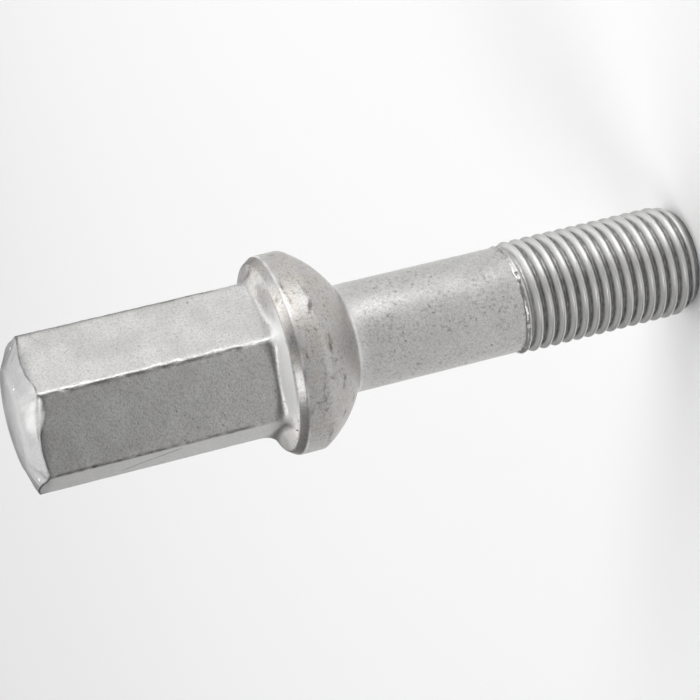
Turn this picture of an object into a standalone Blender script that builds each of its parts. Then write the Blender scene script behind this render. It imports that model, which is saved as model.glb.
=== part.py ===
"""Wheel bolt: one forged steel bolt with a hexagon head, a ball-seat collar, a plain
shank and a rolled metric thread. It stands on its flat thread end with the head up.
All lengths are in metres. +Z runs up the bolt's axis and -Y faces one wrench flat."""

import math

import bmesh
import bpy

MM = 0.001

# Hexagon head
ACROSS_FLATS = 17.0 * MM
CORNER_ROUND = 0.85 * MM        # rounding of the six long edges
CROWN_TOP = 85.63 * MM          # highest point of the domed end, the bolt's whole length
CROWN_RADIUS = 30.0 * MM        # sphere of the middle of the domed end
CONE_START = 6.0 * MM           # radius from which the end falls away as a cone
CONE_SLOPE = math.radians(25.5)
CONE_BLEND = 0.5 * MM           # half the width of the soft bend between the two
END_EDGE_ROUND = 0.45 * MM      # soft edge between the crown and the flats

# Collar with its ball seat
COLLAR_REAR = 54.25 * MM        # height of the rim that faces the head
COLLAR_RADIUS = 12.12 * MM
RIM_BEVEL = 0.66 * MM           # how far the bevelled band brings the rim in
RIM_RADIUS = COLLAR_RADIUS - RIM_BEVEL
RIM_BAND = 1.0 * MM             # height of the bevelled band under the rim
REAR_RISE = 0.85 * MM           # rise of the rear face from the rim to a flat's middle
FLAT_FILLET = 0.9 * MM          # concave fillet at a flat
CORNER_FILLET = 2.1 * MM        # concave flare at a corner
BALL_BEYOND_COLLAR = 1.88 * MM
BALL_RADIUS = COLLAR_RADIUS + BALL_BEYOND_COLLAR
BALL_CENTRE_RISE = 3.05 * MM    # centre of the ball above the rim
BALL_CENTRE = COLLAR_REAR + BALL_CENTRE_RISE
SEAT_FILLET = 0.6 * MM          # fillet between the ball seat and the shank

# Shank and thread
SHANK_RADIUS = 6.58 * MM
THREAD_RADIUS = 6.95 * MM       # over the crests
PITCH = 1.5 * MM
THREAD_DEPTH = 0.81 * MM
THREAD_TOP = 24.0 * MM          # where the last trace of the thread ends
RUNOUT = 1.2 * MM               # length over which the thread fades into the shank
POINT_RADIUS = 5.85 * MM        # flat end face
POINT_LENGTH = 2.4 * MM         # rounded taper of the thread end
THREAD_TURN = math.radians(140)  # turn of the thread about the axis

# One pitch of the thread as (fraction of the pitch, 0 at the root and 1 at the crest)
THREAD_FORM = ((0.0, 0.0), (0.25, 0.0), (0.5625, 1.0), (0.6875, 1.0))

STEPS_BETWEEN_CORNERS = 8
SNAP = 0.05 * MM                # thread points nearer than this to an end join it


def clear_scene():
    for ob in list(bpy.data.objects):
        bpy.data.objects.remove(ob, do_unlink=True)


def corner_half_angle():
    """Polar angle from a corner's middle to where its rounding meets the flat."""
    centre = (ACROSS_FLATS / 2 - CORNER_ROUND) / math.cos(math.radians(30))
    x = centre + CORNER_ROUND * math.cos(math.radians(30))
    y = CORNER_ROUND * math.sin(math.radians(30))
    return math.atan2(y, x)


def ring_angles():
    """Angles shared by every ring: three at each rounded corner, the rest between."""
    half = corner_half_angle()
    angles = []
    for corner in range(6):
        base = math.radians(60) * corner
        angles += [base, base + half]
        step = (math.radians(60) - 2 * half) / STEPS_BETWEEN_CORNERS
        angles += [base + half + step * k for k in range(1, STEPS_BETWEEN_CORNERS + 1)]
    return angles


def hexagon_radius(angle):
    """Distance from the axis to the rounded hexagon in one direction."""
    off = abs((angle + math.radians(30)) % math.radians(60) - math.radians(30))
    if off >= corner_half_angle() - 1e-9:
        return ACROSS_FLATS / 2 / math.cos(math.radians(30) - off)
    centre = (ACROSS_FLATS / 2 - CORNER_ROUND) / math.cos(math.radians(30))
    return centre * math.cos(off) + math.sqrt(CORNER_ROUND ** 2 - (centre * math.sin(off)) ** 2)


def crown_height(radius):
    """Height of the head's domed end at a distance from the axis."""
    inner = min(radius, CONE_START)
    height = CROWN_TOP - CROWN_RADIUS + math.sqrt(CROWN_RADIUS ** 2 - inner ** 2)
    return height - (radius - inner) * math.tan(CONE_SLOPE)


def curve(start, control, end, count):
    """Points of a quadratic curve between two (radius, height) points, without the start."""
    points = []
    for k in range(1, count + 1):
        t = k / count
        a, b, c = (1 - t) ** 2, 2 * t * (1 - t), t * t
        points.append((a * start[0] + b * control[0] + c * end[0],
                       a * start[1] + b * control[1] + c * end[1]))
    return points


def seat_and_collar_profile():
    """(radius, height) from the top of the shank over the ball seat to the rear rim."""
    def ball(radius):
        return BALL_CENTRE - math.sqrt(BALL_RADIUS ** 2 - radius ** 2)

    foot = (SHANK_RADIUS, ball(SHANK_RADIUS) - SEAT_FILLET * 0.8)
    inner = SHANK_RADIUS + SEAT_FILLET
    points = [foot]
    points += curve(foot, (SHANK_RADIUS, ball(SHANK_RADIUS)), (inner, ball(inner)), 4)
    outer = COLLAR_RADIUS - 0.1 * MM
    a0, a1 = math.asin(inner / BALL_RADIUS), math.asin(outer / BALL_RADIUS)
    for k in range(1, 7):
        a = a0 + (a1 - a0) * k / 6
        points.append((BALL_RADIUS * math.sin(a), BALL_CENTRE - BALL_RADIUS * math.cos(a)))
    points.append((COLLAR_RADIUS, ball(outer) + 0.25 * MM))
    points.append((COLLAR_RADIUS, COLLAR_REAR - RIM_BAND))
    points.append((RIM_RADIUS + 0.12 * MM, COLLAR_REAR - 0.12 * MM))
    points.append((RIM_RADIUS - 0.05 * MM, COLLAR_REAR))
    return points


def head_profile(angle):
    """(radius, height) from the rear rim up the hexagon and over the crown to the axis."""
    wall = hexagon_radius(angle)
    corner = CORNER_ROUND * (1 / math.cos(math.radians(30)) - 1)
    corner_radius = ACROSS_FLATS / 2 / math.cos(math.radians(30)) - corner
    share = (wall - ACROSS_FLATS / 2) / (corner_radius - ACROSS_FLATS / 2)
    slope = REAR_RISE / (RIM_RADIUS - ACROSS_FLATS / 2)
    rise = FLAT_FILLET + (CORNER_FILLET - FLAT_FILLET) * share
    reach = min(rise, RIM_RADIUS - wall - 0.2 * MM)

    def rear(radius):
        return COLLAR_REAR + (RIM_RADIUS - radius) * slope

    start = (wall + reach, rear(wall + reach))
    points = [start]
    points += curve(start, (wall, rear(wall)), (wall, rear(wall) + rise), 4)
    inner = wall - END_EDGE_ROUND
    edge = (wall, crown_height(wall) - END_EDGE_ROUND)
    points.append(edge)
    points += curve(edge, (wall, crown_height(wall)), (inner, crown_height(inner)), 2)
    bend = CONE_START - CONE_BLEND
    for radius in (CONE_START + CONE_BLEND, bend, bend * 0.67, bend * 0.33):
        points.append((radius, crown_height(radius)))
    return points


def point_radius(height):
    """Largest radius that the rounded thread end allows at a height."""
    if height >= POINT_LENGTH:
        return THREAD_RADIUS
    left = 1 - height / POINT_LENGTH
    return THREAD_RADIUS - (THREAD_RADIUS - POINT_RADIUS) * left ** 1.6


def thread_radius(height, crest_share):
    """Radius of a thread point, kept inside the point and faded out at the shank."""
    radius = THREAD_RADIUS - THREAD_DEPTH * (1 - crest_share)
    fade = min(max((height - (THREAD_TOP - RUNOUT)) / RUNOUT, 0.0), 1.0)
    radius += (SHANK_RADIUS - radius) * fade
    return min(radius, point_radius(height))


def ring(bm, angles, points):
    """One closed ring of vertices; points gives a (radius, height) for each angle."""
    return [bm.verts.new((r * math.cos(a), r * math.sin(a), z))
            for a, (r, z) in zip(angles, points)]


def add_quad(bm, corners):
    """Face over its distinct corners, since thread rows run together at the ends."""
    seen = []
    for v in corners:
        if v not in seen:
            seen.append(v)
    if len(seen) >= 3:
        bm.faces.new(seen)


def join_rings(bm, lower, upper):
    count = len(lower)
    for j in range(count):
        k = (j + 1) % count
        add_quad(bm, (lower[j], lower[k], upper[k], upper[j]))


def add_thread(bm, angles, bottom, top):
    """Right-hand helical thread between two rings. Each turn of a row climbs one pitch,
    so the last angle of a row joins the first angle of the row one pitch above."""
    per_turn = len(THREAD_FORM)
    turns = int(math.ceil(THREAD_TOP / PITCH)) + 4
    rows = []
    for row in range(per_turn * (turns + 1)):
        share, crest = THREAD_FORM[row % per_turn]
        start = PITCH * (row // per_turn + share - 1.5 - THREAD_TURN / (2 * math.pi))
        verts = []
        for j, a in enumerate(angles):
            z = start + PITCH * a / (2 * math.pi)
            if z < SNAP:
                verts.append(bottom[j])
            elif z > THREAD_TOP - SNAP:
                verts.append(top[j])
            else:
                r = thread_radius(z, crest)
                verts.append(bm.verts.new((r * math.cos(a), r * math.sin(a), z)))
        rows.append(verts)
    last = len(angles) - 1
    for row in range(len(rows) - per_turn - 1):
        low, high = rows[row], rows[row + 1]
        low_next, high_next = rows[row + per_turn], rows[row + 1 + per_turn]
        for j in range(last):
            add_quad(bm, (low[j], low[j + 1], high[j + 1], high[j]))
        add_quad(bm, (low[last], low_next[0], high_next[0], high[last]))


def build_bolt():
    bm = bmesh.new()
    angles = ring_angles()
    count = len(angles)
    bottom = ring(bm, angles, [(POINT_RADIUS, 0.0)] * count)
    top = ring(bm, angles, [(SHANK_RADIUS, THREAD_TOP)] * count)
    bm.faces.new(list(reversed(bottom)))
    add_thread(bm, angles, bottom, top)

    below = top
    for point in seat_and_collar_profile():
        above = ring(bm, angles, [point] * count)
        join_rings(bm, below, above)
        below = above
    for points in zip(*[head_profile(a) for a in angles]):
        above = ring(bm, angles, points)
        join_rings(bm, below, above)
        below = above
    crown = bm.verts.new((0.0, 0.0, CROWN_TOP))
    for j in range(count):
        bm.faces.new((below[j], below[(j + 1) % count], crown))

    loose = [v for v in bm.verts if not v.link_faces]
    bmesh.ops.delete(bm, geom=loose, context="VERTS")
    bmesh.ops.recalc_face_normals(bm, faces=bm.faces)
    mesh = bpy.data.meshes.new("wheel_bolt")
    bm.to_mesh(mesh)
    bm.free()
    bolt = bpy.data.objects.new("wheel_bolt", mesh)
    bpy.context.scene.collection.objects.link(bolt)
    return bolt


clear_scene()
build_bolt()
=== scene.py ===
import math
import bmesh
import bpy
from mathutils import Matrix, Vector, noise


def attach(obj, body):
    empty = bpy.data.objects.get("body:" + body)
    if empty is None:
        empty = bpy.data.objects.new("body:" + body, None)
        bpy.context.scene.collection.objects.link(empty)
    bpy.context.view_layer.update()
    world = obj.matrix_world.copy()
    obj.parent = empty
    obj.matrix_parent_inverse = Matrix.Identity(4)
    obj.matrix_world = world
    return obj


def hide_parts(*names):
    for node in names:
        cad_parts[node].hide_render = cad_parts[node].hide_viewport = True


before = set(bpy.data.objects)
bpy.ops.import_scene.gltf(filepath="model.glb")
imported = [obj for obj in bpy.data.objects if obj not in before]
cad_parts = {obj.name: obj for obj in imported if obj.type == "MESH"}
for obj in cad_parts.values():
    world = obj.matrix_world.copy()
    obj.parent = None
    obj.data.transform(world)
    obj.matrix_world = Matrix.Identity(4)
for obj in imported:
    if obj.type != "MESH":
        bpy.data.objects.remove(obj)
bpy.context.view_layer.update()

# Thread. The lower part of the steel blank, rolled between flat dies into one right-hand
# ridge with a rounded root and crest. The spin makes one turn of it, copies of that turn
# are stacked up the axis, and planes cut the stack to length.
MM = 0.001
PITCH = 1.5
ROUND_STEPS = 156
THREAD_CUT = 24.3
CREST_RADIUS = 6.95
SHANK_RADIUS = 6.58
POINT_RADIUS = 5.85
POINT_LENGTH = 2.4
FORM_POINTS = 14
FORM_START = 0.125
ROOT_RADIUS = 6.12
TURNS_ABOVE_FIRST = 18
TURNS_BELOW_FLOOR = 1.5
THREAD_ANGLE = 140
JOIN_DISTANCE = 0.0005
CUT_DISTANCE = 0.00001
FADE_START = 22.8
FADE_LENGTH = 1.2
TORN_HEIGHT = 23.2
TORN_REACH = 1.1
thread_base = -TURNS_BELOW_FLOOR - THREAD_ANGLE / 360

bolt = bmesh.new()
chain = []
for k in range(FORM_POINTS + 1):
    rise = 0.5 - 0.5 * math.cos(2 * math.pi * (k / FORM_POINTS - FORM_START))
    chain.append(bolt.verts.new((ROOT_RADIUS + (CREST_RADIUS - ROOT_RADIUS) * rise, 0,
                                 PITCH * (k / FORM_POINTS + thread_base))))
chain += [bolt.edges.new(pair) for pair in zip(chain, chain[1:])]
bmesh.ops.spin(bolt, geom=chain, cent=(0, 0, 0), axis=(0, 0, 1), dvec=(0, 0, PITCH / ROUND_STEPS),
               angle=2 * math.pi, steps=ROUND_STEPS, use_duplicate=False, use_merge=False)
one_turn = bolt.verts[:] + bolt.edges[:] + bolt.faces[:]
for turn in range(1, TURNS_ABOVE_FIRST + 1):
    copy = bmesh.ops.duplicate(bolt, geom=one_turn)["geom"]
    bmesh.ops.translate(bolt, vec=(0, 0, PITCH * turn),
                        verts=[v for v in copy if isinstance(v, bmesh.types.BMVert)])
bmesh.ops.remove_doubles(bolt, verts=bolt.verts, dist=JOIN_DISTANCE)


def smooth_step(x):
    x = min(max(x, 0.0), 1.0)
    return x * x * (3 - 2 * x)


def thread_reach(height):
    """Largest radius that the rounded thread end leaves at a height."""
    if height >= POINT_LENGTH:
        return CREST_RADIUS
    left = 1 - max(height, 0.0) / POINT_LENGTH
    return CREST_RADIUS - (CREST_RADIUS - POINT_RADIUS) * left ** 1.6


for v in bolt.verts:
    radius = v.co.xy.length
    fade = smooth_step((v.co.z - FADE_START) / FADE_LENGTH)
    wanted = radius + (SHANK_RADIUS - radius) * fade
    torn = max(1 - abs(v.co.z - TORN_HEIGHT) / TORN_REACH, 0)
    wanted += 0.012 * noise.noise(v.co * 1.3) + 0.2 * torn * noise.noise(v.co * 2.6)
    v.co.xy *= min(wanted, thread_reach(v.co.z)) / radius
for height, side in ((0.0, -1), (THREAD_CUT, 1)):
    bmesh.ops.bisect_plane(bolt, geom=bolt.verts[:] + bolt.edges[:] + bolt.faces[:],
                           plane_co=(0, 0, height), plane_no=(0, 0, side),
                           clear_outer=True, dist=CUT_DISTANCE)

# End face of the thread. The blank's sheared and pressed end, nearly flat, with a soft
# edge. The open ring at the foot of the thread is filled and inset.
foot_ring = [e for e in bolt.edges if e.is_boundary and e.verts[0].co.z < 1]
foot_face = bmesh.ops.contextual_create(bolt, geom=foot_ring)["faces"]
bmesh.ops.inset_region(bolt, faces=foot_face, thickness=0.12, depth=0.0)
bmesh.ops.inset_region(bolt, faces=foot_face, thickness=0.5, depth=0.0)

# Shank, ball seat and collar. Turned forms of the same forging. Each ring is pulled up
# out of the one below it and set to the next radius and height of the section.
SHANK_LENGTH = 20.16
SHANK_ROWS = 16
SEAT_RADIUS = 14.0
SEAT_CENTRE = 57.3
SEAT_FOOT = 7.18
SEAT_EDGE = 12.02
SEAT_ROWS = 14
COLLAR_RADIUS = 12.12
RIM_RADIUS = 11.46
RIM_INNER = 11.28
COLLAR_REAR = 54.25


def seat_height(radius):
    return SEAT_CENTRE - math.sqrt(SEAT_RADIUS ** 2 - radius ** 2)


def soft_corner(start, control, end, count):
    """Points of a soft bend between two points, without the first."""
    points = []
    for k in range(1, count + 1):
        t = k / count
        points.append(tuple((1 - t) ** 2 * a + 2 * t * (1 - t) * b + t * t * c
                            for a, b, c in zip(start, control, end)))
    return points


turn_of = bolt.verts.layers.float.new("turn")
ring = [e for e in bolt.edges if e.is_boundary]
for v in {v for e in ring for v in e.verts}:
    v[turn_of] = math.degrees(math.atan2(v.co.y, v.co.x)) % 360


def pull_ring(ring, where):
    """Pulls a new ring out of an open one and puts each new vertex where it is told."""
    made = bmesh.ops.extrude_edge_only(bolt, edges=ring)["geom"]
    for v in made:
        if isinstance(v, bmesh.types.BMVert):
            v.co = where(v[turn_of])
    return [e for e in made if isinstance(e, bmesh.types.BMEdge) and e.is_boundary]


section = [(SHANK_RADIUS, THREAD_CUT + SHANK_LENGTH * k / SHANK_ROWS)
           for k in range(1, SHANK_ROWS + 1)]
section += soft_corner(section[-1], (SHANK_RADIUS, seat_height(SHANK_RADIUS)),
                       (SEAT_FOOT, seat_height(SEAT_FOOT)), 6)
first = math.asin(SEAT_FOOT / SEAT_RADIUS)
last = math.asin(SEAT_EDGE / SEAT_RADIUS)
for k in range(1, SEAT_ROWS + 1):
    a = first + (last - first) * k / SEAT_ROWS
    section.append((SEAT_RADIUS * math.sin(a), SEAT_CENTRE - SEAT_RADIUS * math.cos(a)))
section += soft_corner(section[-1], (COLLAR_RADIUS, 50.3), (COLLAR_RADIUS, 50.7), 4)
section += [(COLLAR_RADIUS, 51.5), (COLLAR_RADIUS, 52.3), (COLLAR_RADIUS, 53.0)]
section += soft_corner((COLLAR_RADIUS, 53.0), (COLLAR_RADIUS, 53.25), (11.97, 53.48), 4)
section += [(11.76, 53.79)]
section += soft_corner((11.56, 54.09), (RIM_RADIUS, COLLAR_REAR), (RIM_INNER, 54.30), 5)
for radius, height in section:
    ring = pull_ring(ring, lambda turn: (radius * math.cos(math.radians(turn)),
                                         radius * math.sin(math.radians(turn)), height))

# Hexagon head. Pressed from the same bar in a six-sided die: rounded corners, a concave
# flare into the collar, and a domed end with a ragged edge where the die parted.
FLATS = 17.0
CORNER_ROUND = 0.85
CORNER_SHARE = 8.0
CROWN_TOP = 85.63
CROWN_RADIUS = 30.0
CONE_START = 6.0
CONE_SLOPE = math.tan(math.radians(25.5))
REAR_SLOPE = 0.287
FLAT_RISE = 0.9
CORNER_RISE = 1.2
CORNER_REACH = 1.2
REAR_SHARE = 0.4
EDGE_SHARE = 0.2
FLARE_ROWS = 16
FLAT_ROWS = 96
EDGE_ROWS = 6
CROWN_ROWS = 22
END_ZONE = 80

# How far the end sits below the crown at the corners at 0, 60 ... 300 degrees. The photo
# shows four of them; those at 60 and 120 degrees are guessed.
CORNER_DROP = (0.35, -0.05, -0.25, -0.4, -0.1, 0.45)


def hexagon(turn, inset=0.0):
    """Point on the rounded hexagon for a place round the bolt, drawn in by an inset."""
    half = FLATS / 2 - inset
    rounding = max(CORNER_ROUND - inset * 0.3, 0.3)
    corner = round(turn / 60) * 60
    off = turn - corner
    core = (half - rounding) / math.cos(math.radians(30))
    if abs(off) <= CORNER_SHARE:
        a = math.radians(30 * off / CORNER_SHARE)
        point = Vector((core + rounding * math.cos(a), rounding * math.sin(a)))
    else:
        start = Vector((core + rounding * math.cos(math.radians(30)), rounding / 2))
        middle = Vector((half * math.cos(math.radians(30)), half / 2))
        point = start.lerp(middle, (abs(off) - CORNER_SHARE) / (30 - CORNER_SHARE))
        point.y *= 1 if off > 0 else -1
    point.rotate(Matrix.Rotation(math.radians(corner), 2))
    return point


def crown(radius):
    inner = min(radius, CONE_START)
    height = CROWN_TOP - CROWN_RADIUS + math.sqrt(CROWN_RADIUS ** 2 - inner ** 2)
    return height - max(radius - CONE_START, 0) * CONE_SLOPE


def around(turn):
    return Vector((math.cos(math.radians(turn)), math.sin(math.radians(turn))))


def flare(turn, step):
    """Rear face and flare, from the rim at step 0 to the foot of the flats at step 1."""
    wall = hexagon(turn)
    share = (wall.length - FLATS / 2) / CORNER_REACH
    rise = FLAT_RISE + CORNER_RISE * min(max(share, 0), 1)
    reach = min(rise, RIM_RADIUS - wall.length - 0.2)
    outer = around(turn) * RIM_INNER
    foot = wall.normalized() * (wall.length + reach)

    def rear(radius):
        return COLLAR_REAR + (RIM_RADIUS - radius) * REAR_SLOPE

    if step <= REAR_SHARE:
        point = outer.lerp(foot, step / REAR_SHARE)
        return (*point, rear(point.length))
    t = (step - REAR_SHARE) / (1 - REAR_SHARE)
    bend = (1 - t) ** 2 * foot + (1 - (1 - t) ** 2) * wall
    height = ((1 - t) ** 2 * rear(foot.length) + 2 * t * (1 - t) * rear(wall.length)
              + t * t * (rear(wall.length) + rise))
    return (*bend, height)


def ragged(turn, scale, seed):
    """Noise round the bolt, the same at 0 and 360 degrees."""
    a = math.radians(turn)
    return noise.noise(Vector((math.cos(a) * scale, math.sin(a) * scale, seed)))


def edge_drop(turn):
    """How far the pressed edge of the end sits below the true crown."""
    k = turn / 60
    low, high = CORNER_DROP[int(k) % 6], CORNER_DROP[(int(k) + 1) % 6]
    base = low + (high - low) * smooth_step(k - int(k))
    return base + 0.16 * ragged(turn, 5, 3.1) + 0.08 * ragged(turn, 14, 7.7)


def head_end(turn, step):
    """Soft edge from the flats at step 0 over the cone and the crown to the axis at 1."""
    wall = hexagon(turn)
    soft = 0.17 + 0.08 * ragged(turn, 9, 1.3) + 0.85 * smooth_step(1 - abs(turn - 286) / 22)
    drop = edge_drop(turn)
    top = crown(wall.length) - drop
    inner = hexagon(turn, soft)
    if step <= EDGE_SHARE:
        t = step / EDGE_SHARE
        point = wall.lerp(inner, t * t)
        height = ((1 - t) ** 2 * (top - soft) + 2 * t * (1 - t) * top
                  + t * t * (crown(inner.length) - drop))
        return (*point, height)
    t = (step - EDGE_SHARE) / (1 - EDGE_SHARE)
    ring_point = around(turn) * 8.0
    point = inner.lerp(ring_point, smooth_step(t * 3)) * (1 - t)
    keep = 1 - smooth_step((1 - point.length / inner.length) * 2.8)
    return (*point, crown(point.length) - drop * keep)


for k in range(1, FLARE_ROWS + 1):
    ring = pull_ring(ring, lambda turn: flare(turn, k / FLARE_ROWS))


def flat_row(turn, share):
    """Flats and long corners; the corners are chipped and worn back a little."""
    low = flare(turn, 1)[2]
    high = head_end(turn, 0)[2]
    spot = Vector((*hexagon(turn), low + (high - low) * share))
    corner = max(1 - abs(turn - round(turn / 60) * 60) / 9, 0)
    ends = min(share, 1 - share, 0.05) / 0.05
    chips = max(noise.noise(spot * 1.1), 0) * 0.16 + max(noise.noise(spot * 2.7), 0) * 0.1
    dent = ends * (corner * chips + 0.012 * noise.noise(spot * 0.45))
    spot.xy *= 1 - dent / spot.xy.length
    return spot


for k in range(1, FLAT_ROWS + 1):
    ring = pull_ring(ring, lambda turn: flat_row(turn, k / FLAT_ROWS))
for k in range(1, EDGE_ROWS + 1):
    ring = pull_ring(ring, lambda turn: head_end(turn, EDGE_SHARE * k / EDGE_ROWS))
for k in range(1, CROWN_ROWS):
    ring = pull_ring(ring, lambda turn: head_end(turn, EDGE_SHARE + (1 - EDGE_SHARE) * k / CROWN_ROWS))
bmesh.ops.contextual_create(bolt, geom=ring)
top_face = [f for f in bolt.faces if len(f.verts) > 20 and f.calc_center_median().z > END_ZONE]
bmesh.ops.poke(bolt, faces=top_face)
for v in bolt.verts:
    if v.co.xy.length < 0.01 and v.co.z > END_ZONE:
        v.co.z = CROWN_TOP

# Two layers for the coat. The first is a dark line along the long corners and the end's lip,
# partly worn coat and partly painted shade, so that the rounded edges don't catch the light.
# The second is light and dull: painted highlight, partly coat run together, in the hollows
# behind the collar and at the shank's seat, on the rim, rubbed and painted as a highlight, and
# the burr on the end.
edge_of = bolt.verts.layers.float.new("edge")
highlight_and_pool_of = bolt.verts.layers.float.new("highlight_and_pool")
for v in bolt.verts:
    turn = math.degrees(math.atan2(v.co.y, v.co.x)) % 360
    # Dark edge line on the long corners and the end's lip: partly wear, partly painted shade.
    corner = max(1 - abs(turn - round(turn / 60) * 60) / 8, 0)
    above = smooth_step((v.co.z - 57.5) / 2) * (v.co.xy.length > 8.3)
    lip = 1.3 - min(abs(v.co.z - head_end(turn, 0.1)[2]) / 0.2, 1.3)
    v[edge_of] = max(corner * above, lip * (v.co.z > END_ZONE) * (not 258 < turn < 299))
    # Light dull layer: painted highlight on the rear face behind the collar, strongest on the side
    # towards the camera, partly coat run together there; a painted highlight on the seat line; the
    # rim's line, rubbed and painted as a highlight; and the burr on the end.
    seen = smooth_step(1.9 - abs(turn - 277) / 28)
    hollow = (54.3 < v.co.z < 57) * smooth_step((v.co.xy.length - hexagon(turn).length) / 0.25)
    seat_line = max(1 - abs(v.co.z - 44.75) / 0.45, 0) * (0.5 + 0.8 * ragged(turn, 2, 4.4))
    rim_line = max(1 - abs(v.co.z - 53.2) / 0.22, 0) * (0.75 + 0.8 * ragged(turn, 6, 9.2))
    burr = (smooth_step(1 - abs(turn - 290) / 22) * smooth_step((v.co.xy.length - 6.2) / 1.1)
            * smooth_step((v.co.z - head_end(turn, 0)[2] - 0.2) / 0.3)
            * (0.75 + 0.9 * ragged(turn, 8, 5.5)))
    v[highlight_and_pool_of] = min(max(hollow * (0.15 + 0.85 * seen), seat_line, rim_line, burr, 0), 1)

bmesh.ops.recalc_face_normals(bolt, faces=bolt.faces)
bmesh.ops.scale(bolt, vec=(MM, MM, MM), verts=bolt.verts)
for face in bolt.faces:
    face.smooth = True
bolt_mesh = bpy.data.meshes.new("wheel_bolt_skin")
bolt.to_mesh(bolt_mesh)
bolt.free()
wheel_bolt = bpy.data.objects.new("wheel_bolt_skin", bolt_mesh)
bpy.context.scene.collection.objects.link(wheel_bolt)

# Finish. A thin matte zinc flake coat over forged steel: mid grey metal with a fine
# grain and small dark pits, browner on the collar, less pitted on the rolled thread and
# painted lighter there for the light its flanks catch, with painted shade in its roots,
# darker along the corners of the head, partly worn and partly painted shade, and with
# painted highlights on nicks in the end and on the light dull layer.
COAT_DARK = (0.53, 0.525, 0.515, 1)
COAT_LIGHT = (0.60, 0.595, 0.59, 1)
COLLAR_TINT = (0.54, 0.51, 0.475, 1)
GRAIN_DARK = (0.27, 0.265, 0.26, 1)
MOTTLE_DARK = (0.22, 0.2, 0.185, 1)
PIT_DARK = (0.2, 0.19, 0.18, 1)
SMUDGE_DARK = (0.15, 0.135, 0.125, 1)
# Dark of the head's edges: partly wear, partly painted shade.
WEAR_AND_SHADE_DARK = (0.1, 0.097, 0.093, 1)
FOLD_DARK = (0.05, 0.048, 0.046, 1)
END_GREY = (0.27, 0.273, 0.277, 1)
NICK_GLINT_BRIGHT = (0.85, 0.85, 0.85, 1)
THREAD_PAINTED_LIGHT = (0.74, 0.737, 0.73, 1)
ROOT_SHADE_DARK = (0.12, 0.117, 0.115, 1)
# Painted highlight, partly pooled and rubbed coat.
HIGHLIGHT_AND_POOL_WHITE = (0.92, 0.92, 0.91, 1)

coat = bpy.data.materials.new("zinc flake coat")
coat.use_nodes = True
nodes, links = coat.node_tree.nodes, coat.node_tree.links
metal = nodes["Principled BSDF"]
metal.inputs["Metallic"].default_value = 1.0
place = nodes.new("ShaderNodeTexCoord").outputs["Object"]


def add(kind, **inputs):
    """New node of the coat; a socket as a value is linked and anything else is set."""
    made = nodes.new("ShaderNode" + kind)
    for name, value in inputs.items():
        socket = made.inputs[int(name[1:]) if name[1:].isdigit() else name.replace("_", " ")]
        if isinstance(value, bpy.types.NodeSocket):
            links.new(value, socket)
        else:
            socket.default_value = value
    return made


def grains(size, detail=2.0, across=1.0):
    """Noise with grains of a size in millimetres, drawn out along the bolt by across."""
    spread = place
    if across != 1.0:
        spread = add("VectorMath", _0=place, _1=(1, 1, across))
        spread.operation = "MULTIPLY"
        spread = spread.outputs[0]
    return add("TexNoise", Vector=spread, Scale=1000 / size, Detail=detail).outputs["Fac"]


def ramp(value, low, high, out_low=0.0, out_high=1.0):
    made = add("MapRange", Value=value, From_Min=low, From_Max=high, To_Min=out_low,
               To_Max=out_high)
    made.interpolation_type = "SMOOTHSTEP"
    return made.outputs["Result"]


def maths(operation, a, b):
    made = add("Math", _0=a, _1=b)
    made.operation = operation
    return made.outputs[0]


def mix(factor, a, b):
    made = nodes.new("ShaderNodeMix")
    made.data_type = "RGBA"
    for name, value in (("Factor_Float", factor), ("A_Color", a), ("B_Color", b)):
        socket = next(q for q in made.inputs if q.identifier == name)
        if isinstance(value, bpy.types.NodeSocket):
            links.new(value, socket)
        else:
            socket.default_value = value
    return next(q for q in made.outputs if q.identifier == "Result_Color")


height = add("SeparateXYZ", Vector=place).outputs["Z"]
on_head = ramp(height, 0.0545, 0.0560)
above_shank = ramp(height, 0.0440, 0.0462)
on_collar = maths("SUBTRACT", above_shank, on_head)
off_thread = ramp(height, 0.0225, 0.0240)

cloud = grains(2.6, 3.0)
fine = grains(0.2, 3.0)
pits = ramp(grains(0.42, 2.0), 0.65, 0.75)
patchy = ramp(grains(3.5, 2.0), 0.45, 0.62)
pit_share = maths("MULTIPLY", pits, ramp(off_thread, 0.0, 1.0, 0.15, 0.7))
smudges = maths("MULTIPLY", ramp(grains(2.2, 4.0, 2.2), 0.57, 0.75), on_collar)
# Dark line along the long corners and the end's lip, partly wear and partly painted shade that keeps
# the rounded edges from catching the light.
wear_and_shade = add("Attribute")
wear_and_shade.attribute_name = "edge"
wear_and_shade_edge = maths("MULTIPLY", ramp(wear_and_shade.outputs["Fac"], 0.66, 1.0),
                  ramp(grains(0.8, 3.0, 0.4), 0.35, 0.6, 0.3, 0.8))

colour = mix(ramp(cloud, 0.3, 0.7), COAT_DARK, COAT_LIGHT)
colour = mix(maths("MULTIPLY", on_collar, ramp(cloud, 0.4, 0.6, 0.1, 0.8)), colour, COLLAR_TINT)
colour = mix(maths("MULTIPLY", ramp(fine, 0.55, 0.38), 0.37), colour, GRAIN_DARK)
mottle = maths("MULTIPLY", ramp(grains(0.42, 4.0), 0.47, 0.7, 0.0, 0.42),
               maths("SUBTRACT", off_thread, maths("MULTIPLY", on_head, 0.85)))
mottle = maths("MULTIPLY", mottle, ramp(patchy, 0.0, 1.0, 0.45, 1.0))
colour = mix(mottle, colour, MOTTLE_DARK)
colour = mix(maths("MULTIPLY", pit_share, ramp(patchy, 0.0, 1.0, 0.3, 1.0)), colour, PIT_DARK)
colour = mix(maths("MULTIPLY", smudges, 0.85), colour, SMUDGE_DARK)
colour = mix(wear_and_shade_edge, colour, WEAR_AND_SHADE_DARK)


def along(direction):
    made = nodes.new("ShaderNodeVectorMath")
    made.operation = "DOT_PRODUCT"
    links.new(place, made.inputs[0])
    made.inputs[1].default_value = direction
    return made.outputs["Value"]


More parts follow.
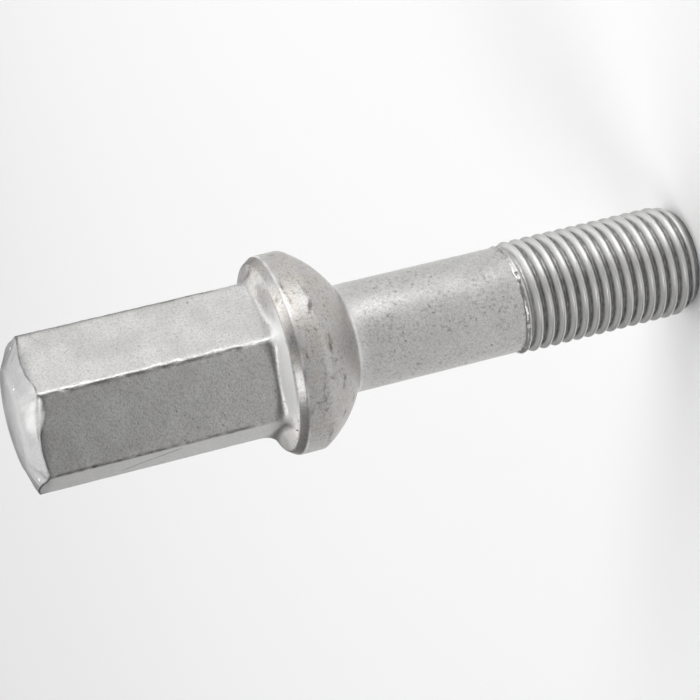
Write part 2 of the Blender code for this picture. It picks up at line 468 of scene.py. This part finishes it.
wobble = maths("MULTIPLY_ADD", grains(2.5, 3.0), 0.0016)
wobble.node.inputs[2].default_value = -0.0535
off_fold = maths("ABSOLUTE", maths("ADD", along((0.5, -0.866, 0.733)), wobble), 0.0)
fold = maths("MULTIPLY", ramp(off_fold, 0.00045, 0.00018),
             maths("MULTIPLY", ramp(height, 0.0672, 0.0685), ramp(height, 0.0745, 0.0735)))
fold = maths("MULTIPLY", fold, ramp(along((-0.866, -0.5, 0)), 0.0081, 0.0084, 0.0, 0.7))
colour = mix(fold, colour, FOLD_DARK)
colour = mix(ramp(height, 0.0824, 0.0834, 0.0, 0.62), colour, END_GREY)
# Painted highlight: small nicks in the end are painted near white for the glints they catch.
nick_glints = maths("MULTIPLY", ramp(grains(0.9, 1.0, 0.4), 0.735, 0.78),
              ramp(height, 0.0832, 0.0838))
colour = mix(nick_glints, colour, NICK_GLINT_BRIGHT)
across = add("VectorMath", _0=place, _1=(1, 1, 0))
across.operation = "MULTIPLY"
radius = nodes.new("ShaderNodeVectorMath")
radius.operation = "LENGTH"
links.new(across.outputs[0], radius.inputs[0])
# Painted shade: the roots of the thread are darkened where shade falls between the crests.
root = maths("MULTIPLY", ramp(radius.outputs["Value"], 0.00652, 0.00626),
             ramp(height, 0.0235, 0.0215, 0.0, 0.75))
root = maths("MULTIPLY", root, ramp(grains(0.9, 3.0, 5.0), 0.3, 0.6, 0.6, 1.0))
# Painted light: the thread is made lighter, for the light its flanks catch.
colour = mix(ramp(off_thread, 0.0, 1.0, 0.8, 0.0), colour, THREAD_PAINTED_LIGHT)
colour = mix(root, colour, ROOT_SHADE_DARK)
# Light dull layer, mostly painted highlight with some pooled coat and the burr: white and not
# metallic.
highlight_and_pool_node = add("Attribute")
highlight_and_pool_node.attribute_name = "highlight_and_pool"
highlight_and_pool = maths("MULTIPLY", highlight_and_pool_node.outputs["Fac"], ramp(fine, 0.3, 0.5, 0.88, 1.0))
colour = mix(highlight_and_pool, colour, HIGHLIGHT_AND_POOL_WHITE)
links.new(colour, metal.inputs["Base Color"])
links.new(ramp(highlight_and_pool, 0.0, 1.0, 1.0, 0.0), metal.inputs["Metallic"])
dull = maths("ADD", ramp(cloud, 0.35, 0.7, 0.36, 0.44), ramp(off_thread, 0.0, 1.0, 0.07, 0.0))
on_shank = maths("SUBTRACT", off_thread, above_shank)
dull = maths("SUBTRACT", dull, maths("MULTIPLY", on_shank, 0.06))
links.new(maths("ADD", dull, maths("MULTIPLY", pit_share, 0.2)), metal.inputs["Roughness"])
raised = maths("MULTIPLY", fine, ramp(off_thread, 0.0, 1.0, 0.8, 1.0))
relief = maths("SUBTRACT", raised, pit_share)
bump = add("Bump", Strength=1.0, Distance=0.00002, Height=relief)
links.new(bump.outputs["Normal"], metal.inputs["Normal"])
bolt_mesh.materials.append(coat)

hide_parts("wheel_bolt")
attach(wheel_bolt, "root")

# Floor and light. A plain white sheet under soft square lamps: a wide one over the sheet
# behind the bolt, weaker ones above and round it, and a low one that draws the bright
# band along the shank.
scene = bpy.context.scene
scene.view_settings.view_transform = "Standard"
sheet = bmesh.new()
bmesh.ops.create_grid(sheet, x_segments=1, y_segments=1, size=3)
sheet_mesh = bpy.data.meshes.new("floor")
sheet.to_mesh(sheet_mesh)
sheet.free()
floor = bpy.data.objects.new("floor", sheet_mesh)
scene.collection.objects.link(floor)
paper = bpy.data.materials.new("white paper")
paper.use_nodes = True
paper_base = paper.node_tree.nodes["Principled BSDF"]
paper_base.inputs["Base Color"].default_value = (0.93, 0.93, 0.93, 1)
paper_base.inputs["Roughness"].default_value = 0.9
paper_base.inputs["Specular IOR Level"].default_value = 0.0
sheet_mesh.materials.append(paper)

room = bpy.data.worlds.new("room")
scene.world = room
room.use_nodes = True
room.node_tree.nodes["Background"].inputs["Color"].default_value = (1, 1, 1, 1)
room.node_tree.nodes["Background"].inputs["Strength"].default_value = 0.12


def soft_light(name, spot, aim, width, power):
    lamp = bpy.data.lights.new(name, "AREA")
    lamp.shape = "SQUARE"
    lamp.size = width
    lamp.energy = power
    holder = bpy.data.objects.new(name, lamp)
    scene.collection.objects.link(holder)
    holder.location = spot
    holder.rotation_euler = (Vector(spot) - Vector(aim)).to_track_quat("Z", "Y").to_euler()


soft_light("over", (-0.3, 0.93, 0.9), (-0.3, 0.93, 0), 1.8, 9.9)
soft_light("top", (-0.05, 0.1, 0.62), (0, 0, 0.05), 0.5, 0.45)
soft_light("front", (-0.2, -0.35, 0.55), (0, 0, 0.05), 0.26, 0.8)
soft_light("side", (0.50, 0.05, 0.22), (0, 0, 0.05), 0.4, 0.3)
soft_light("high side", (0.35, 0.0, 0.45), (0, 0, 0.05), 0.3, 0.76)
soft_light("low side", (0.41, -0.14, 0.083), (0, 0, 0.03), 0.16, 0.58)
soft_light("back side", (0.38, 0.48, 0.33), (0, 0, 0.05), 0.5, 0.55)
soft_light("behind", (-0.5, 1.3, 1.25), (-0.3, 0.8, 0), 1.5, 4.2)
soft_light("opposite", (-0.58, 0.12, 0.33), (0, 0, 0.05), 0.5, 0.07)

# Camera. Its angle and distance were solved from the photo's edges, with the lens held
# at a given length, because the edges hardly tell it.
view = bpy.data.cameras.new("camera")
view.sensor_width = 36.0
view.lens = 110.57
camera = bpy.data.objects.new("camera", view)
scene.collection.objects.link(camera)
scene.camera = camera
right = Vector((-0.1389465, -0.32473482, -0.93554325))
up = Vector((0.93722046, 0.26201511, -0.23014321))
back = Vector((0.31986198, -0.90878786, 0.26794204))
turned = Matrix((right, up, back)).transposed().to_4x4()
camera.matrix_world = Matrix.Translation((0.080931, -0.234283, 0.113058)) @ turned
view.clip_start = 0.01
view.clip_end = 10
